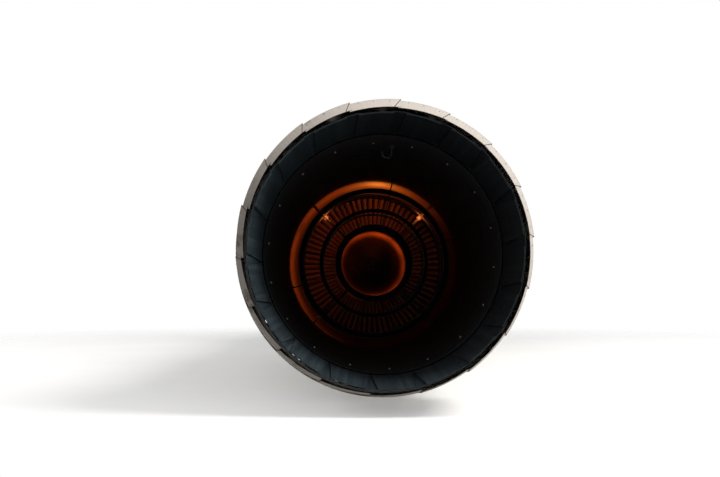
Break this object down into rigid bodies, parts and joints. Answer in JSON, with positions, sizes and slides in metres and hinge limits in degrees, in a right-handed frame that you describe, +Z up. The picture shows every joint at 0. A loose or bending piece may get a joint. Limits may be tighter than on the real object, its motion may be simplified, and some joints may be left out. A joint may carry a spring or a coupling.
{
  "type": "jet engine",
  "caption": "Afterburning jet engine with bladed rotors, burner cans, jet pipe and a variable nozzle of coupled leaves",
  "frame": {"origin": "centre of the inlet flange face on the engine axis", "axes": "+Y forwards along the engine axis, +Z up, nozzle towards -Y"},
  "size_m": [1.1699, 6.71, 1.195],
  "materials": {
    "cast_alloy": "satin",
    "case_steel": "satin",
    "hot_case": "heat tinted",
    "blade_metal": "satin",
    "turbine_metal": "heat tinted",
    "liner_metal": "sooty",
    "leaf_metal": "heat tinted",
    "petal_metal": "weathered",
    "pipe_steel": "satin",
    "accessory_paint": "satin",
    "bolt_steel": "satin"
  },
  "bodies": {
    "engine": {"inlet_case": "cast_alloy", "nose_cone": "cast_alloy", "front_compressor_case": "case_steel", "front_stator_vanes": "blade_metal", "intermediate_case": "cast_alloy", "gearbox": "cast_alloy", "starter": "accessory_paint", "fuel_pump": "accessory_paint", "oil_pump": "accessory_paint", "oil_tank": "accessory_paint", "core_compressor_case": "case_steel", "diffuser_case": "case_steel", "fuel_manifold": "pipe_steel", "combustion_case": "case_steel", "combustor_cans": "hot_case", "inner_case": "hot_case", "turbine_case": "hot_case", "turbine_vanes": "turbine_metal", "exhaust_case": "hot_case", "exhaust_cone": "turbine_metal", "ab_diffuser": "hot_case", "spray_rings": "pipe_steel", "ab_fuel_pipe": "pipe_steel", "flame_holder": "liner_metal", "ab_liner": "liner_metal", "duct_probe": "pipe_steel", "ab_duct": "case_steel", "rear_hanger": "case_steel", "actuator_1": "pipe_steel", "actuator_2": "pipe_steel", "actuator_3": "pipe_steel", "nozzle_hinge_ring": "hot_case", "outer_shroud": "case_steel", "outer_petals": "petal_metal", "flange_bolts": "bolt_steel"},
    "inner_spool": {"front_compressor_rotor": "blade_metal", "inner_shaft": "blade_metal", "rear_turbine_rotor": "turbine_metal"},
    "core_spool": {"core_compressor_rotor": "blade_metal", "core_turbine_rotor": "turbine_metal"},
    "drive_shaft": {"radial_drive_shaft": "blade_metal"},
    "nozzle_ring": {"unison_ring": "blade_metal"},
    "leaf_01": {"leaf_01": "leaf_metal"},
    "leaf_02": {"leaf_02": "leaf_metal"},
    "leaf_03": {"leaf_03": "leaf_metal"},
    "leaf_04": {"leaf_04": "leaf_metal"},
    "leaf_05": {"leaf_05": "leaf_metal"},
    "leaf_06": {"leaf_06": "leaf_metal"},
    "leaf_07": {"leaf_07": "leaf_metal"},
    "leaf_08": {"leaf_08": "leaf_metal"},
    "leaf_09": {"leaf_09": "leaf_metal"},
    "leaf_10": {"leaf_10": "leaf_metal"},
    "leaf_11": {"leaf_11": "leaf_metal"},
    "leaf_12": {"leaf_12": "leaf_metal"},
    "leaf_13": {"leaf_13": "leaf_metal"},
    "leaf_14": {"leaf_14": "leaf_metal"},
    "leaf_15": {"leaf_15": "leaf_metal"},
    "leaf_16": {"leaf_16": "leaf_metal"},
    "leaf_17": {"leaf_17": "leaf_metal"},
    "leaf_18": {"leaf_18": "leaf_metal"}
  },
  "joints": [
    {"name": "inner_spool_spin", "type": "hinge", "parent": "engine", "child": "inner_spool", "pos_m": [0, -1, 0], "axis": [0, 1, 0], "continuous": true},
    {"name": "core_spool_spin", "type": "hinge", "parent": "engine", "child": "core_spool", "pos_m": [0, -2, 0], "axis": [0, 1, 0], "continuous": true},
    {"name": "drive_spin", "type": "hinge", "parent": "engine", "child": "drive_shaft", "pos_m": [0, -1.225, -0.3], "axis": [0, 0, -1], "continuous": true},
    {"name": "nozzle_slide", "type": "slide", "parent": "engine", "child": "nozzle_ring", "axis": [0, 1, 0], "range_m": [0, 0.1]},
    {"name": "leaf_01_hinge", "type": "hinge", "parent": "engine", "child": "leaf_01", "pos_m": [-0.03571, -6.168, 0.51075], "axis": [0.9976, 0, 0.0698], "range_deg": [-0.05, 13.05]},
    {"name": "leaf_02_hinge", "type": "hinge", "parent": "engine", "child": "leaf_02", "pos_m": [-0.20825, -6.168, 0.46774], "axis": [0.9135, 0, 0.4067], "range_deg": [-0.05, 13.05]},
    {"name": "leaf_03_hinge", "type": "hinge", "parent": "engine", "child": "leaf_03", "pos_m": [-0.35567, -6.168, 0.3683], "axis": [0.7193, 0, 0.6947], "range_deg": [-0.05, 13.05]},
    {"name": "leaf_04_hinge", "type": "hinge", "parent": "engine", "child": "leaf_04", "pos_m": [-0.46018, -6.168, 0.22445], "axis": [0.4384, 0, 0.8988], "range_deg": [-0.05, 13.05]},
    {"name": "leaf_05_hinge", "type": "hinge", "parent": "engine", "child": "leaf_05", "pos_m": [-0.50919, -6.168, 0.05352], "axis": [0.1045, 0, 0.9945], "range_deg": [-0.05, 13.05]},
    {"name": "leaf_06_hinge", "type": "hinge", "parent": "engine", "child": "leaf_06", "pos_m": [-0.49679, -6.168, -0.12386], "axis": [-0.2419, 0, 0.9703], "range_deg": [-0.05, 13.05]},
    {"name": "leaf_07_hinge", "type": "hinge", "parent": "engine", "child": "leaf_07", "pos_m": [-0.42447, -6.168, -0.28631], "axis": [-0.5592, 0, 0.829], "range_deg": [-0.05, 13.05]},
    {"name": "leaf_08_hinge", "type": "hinge", "parent": "engine", "child": "leaf_08", "pos_m": [-0.30095, -6.168, -0.41422], "axis": [-0.809, 0, 0.5878], "range_deg": [-0.05, 13.05]},
    {"name": "leaf_09_hinge", "type": "hinge", "parent": "engine", "child": "leaf_09", "pos_m": [-0.14113, -6.168, -0.49217], "axis": [-0.9613, 0, 0.2756], "range_deg": [-0.05, 13.05]},
    {"name": "leaf_10_hinge", "type": "hinge", "parent": "engine", "child": "leaf_10", "pos_m": [0.03571, -6.168, -0.51075], "axis": [-0.9976, 0, -0.0698], "range_deg": [-0.05, 13.05]},
    {"name": "leaf_11_hinge", "type": "hinge", "parent": "engine", "child": "leaf_11", "pos_m": [0.20825, -6.168, -0.46774], "axis": [-0.9135, 0, -0.4067], "range_deg": [-0.05, 13.05]},
    {"name": "leaf_12_hinge", "type": "hinge", "parent": "engine", "child": "leaf_12", "pos_m": [0.35567, -6.168, -0.3683], "axis": [-0.7193, 0, -0.6947], "range_deg": [-0.05, 13.05]},
    {"name": "leaf_13_hinge", "type": "hinge", "parent": "engine", "child": "leaf_13", "pos_m": [0.46018, -6.168, -0.22445], "axis": [-0.4384, 0, -0.8988], "range_deg": [-0.05, 13.05]},
    {"name": "leaf_14_hinge", "type": "hinge", "parent": "engine", "child": "leaf_14", "pos_m": [0.50919, -6.168, -0.05352], "axis": [-0.1045, 0, -0.9945], "range_deg": [-0.05, 13.05]},
    {"name": "leaf_15_hinge", "type": "hinge", "parent": "engine", "child": "leaf_15", "pos_m": [0.49679, -6.168, 0.12386], "axis": [0.2419, 0, -0.9703], "range_deg": [-0.05, 13.05]},
    {"name": "leaf_16_hinge", "type": "hinge", "parent": "engine", "child": "leaf_16", "pos_m": [0.42447, -6.168, 0.28631], "axis": [0.5592, 0, -0.829], "range_deg": [-0.05, 13.05]},
    {"name": "leaf_17_hinge", "type": "hinge", "parent": "engine", "child": "leaf_17", "pos_m": [0.30095, -6.168, 0.41422], "axis": [0.809, 0, -0.5878], "range_deg": [-0.05, 13.05]},
    {"name": "leaf_18_hinge", "type": "hinge", "parent": "engine", "child": "leaf_18", "pos_m": [0.14113, -6.168, 0.49217], "axis": [0.9613, 0, -0.2756], "range_deg": [-0.05, 13.05]}
  ],
  "couplings": [
    {"joint": "drive_spin", "follows": "core_spool_spin", "ratio": 2},
    {"joint": "leaf_01_hinge", "follows": "nozzle_slide", "rad_per_m": 2.2689},
    {"joint": "leaf_02_hinge", "follows": "nozzle_slide", "rad_per_m": 2.2689},
    {"joint": "leaf_03_hinge", "follows": "nozzle_slide", "rad_per_m": 2.2689},
    {"joint": "leaf_04_hinge", "follows": "nozzle_slide", "rad_per_m": 2.2689},
    {"joint": "leaf_05_hinge", "follows": "nozzle_slide", "rad_per_m": 2.2689},
    {"joint": "leaf_06_hinge", "follows": "nozzle_slide", "rad_per_m": 2.2689},
    {"joint": "leaf_07_hinge", "follows": "nozzle_slide", "rad_per_m": 2.2689},
    {"joint": "leaf_08_hinge", "follows": "nozzle_slide", "rad_per_m": 2.2689},
    {"joint": "leaf_09_hinge", "follows": "nozzle_slide", "rad_per_m": 2.2689},
    {"joint": "leaf_10_hinge", "follows": "nozzle_slide", "rad_per_m": 2.2689},
    {"joint": "leaf_11_hinge", "follows": "nozzle_slide", "rad_per_m": 2.2689},
    {"joint": "leaf_12_hinge", "follows": "nozzle_slide", "rad_per_m": 2.2689},
    {"joint": "leaf_13_hinge", "follows": "nozzle_slide", "rad_per_m": 2.2689},
    {"joint": "leaf_14_hinge", "follows": "nozzle_slide", "rad_per_m": 2.2689},
    {"joint": "leaf_15_hinge", "follows": "nozzle_slide", "rad_per_m": 2.2689},
    {"joint": "leaf_16_hinge", "follows": "nozzle_slide", "rad_per_m": 2.2689},
    {"joint": "leaf_17_hinge", "follows": "nozzle_slide", "rad_per_m": 2.2689},
    {"joint": "leaf_18_hinge", "follows": "nozzle_slide", "rad_per_m": 2.2689}
  ]
}
